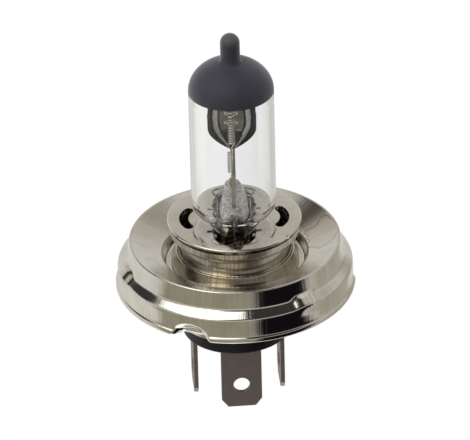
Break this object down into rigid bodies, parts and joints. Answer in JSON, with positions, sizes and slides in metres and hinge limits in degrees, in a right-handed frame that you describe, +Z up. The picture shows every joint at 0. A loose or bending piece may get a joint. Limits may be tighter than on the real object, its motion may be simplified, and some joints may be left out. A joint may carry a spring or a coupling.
{
  "type": "headlight bulb",
  "caption": "Halogen headlight bulb: clear capsule with a blackened dome, axial coils and a dip shield, on a round stepped metal flange with blade contacts.",
  "frame": {"origin": "on the lamp's axis, at the level of the tips of the contact blades", "axes": "+Z up the axis towards the tip of the glass, -Y the open side of the dip shield and the low-beam contact"},
  "size_m": [0.0449, 0.045, 0.0752],
  "materials": {
    "nickel_plate": "bright nickel plate on stamped steel, with fine drawing marks",
    "black_plastic": "moulded, satin black",
    "contact_metal": "dull tin plate, brown-grey",
    "quartz_glass": "clear, wrinkled where it is pinched",
    "black_coating": "opaque slate-black heatproof paint, matt",
    "molybdenum": "bright rolled sheet",
    "tungsten": "bare grey wire",
    "support_wire": "bare drawn wire"
  },
  "bodies": {
    "root": {"flange_ring": "nickel_plate", "base_sleeve": "nickel_plate", "base_shell": "nickel_plate", "holder_collar": "nickel_plate", "holder_disc": "nickel_plate", "base_insulator": "black_plastic", "contact_low_beam": "contact_metal", "contact_high_beam": "contact_metal", "contact_ground": "contact_metal", "glass_envelope": "quartz_glass", "blackout_coating": "black_coating", "dip_shield": "molybdenum", "low_beam_filament": "tungsten", "high_beam_filament": "tungsten", "support_wire_common": "support_wire", "support_wire_high_beam": "support_wire", "support_wire_low_beam": "support_wire", "pinch_foil_common": "molybdenum", "pinch_foil_high_beam": "molybdenum", "pinch_foil_low_beam": "molybdenum", "outer_lead_common": "support_wire", "outer_lead_high_beam": "support_wire", "outer_lead_low_beam": "support_wire"}
  },
  "joints": []
}
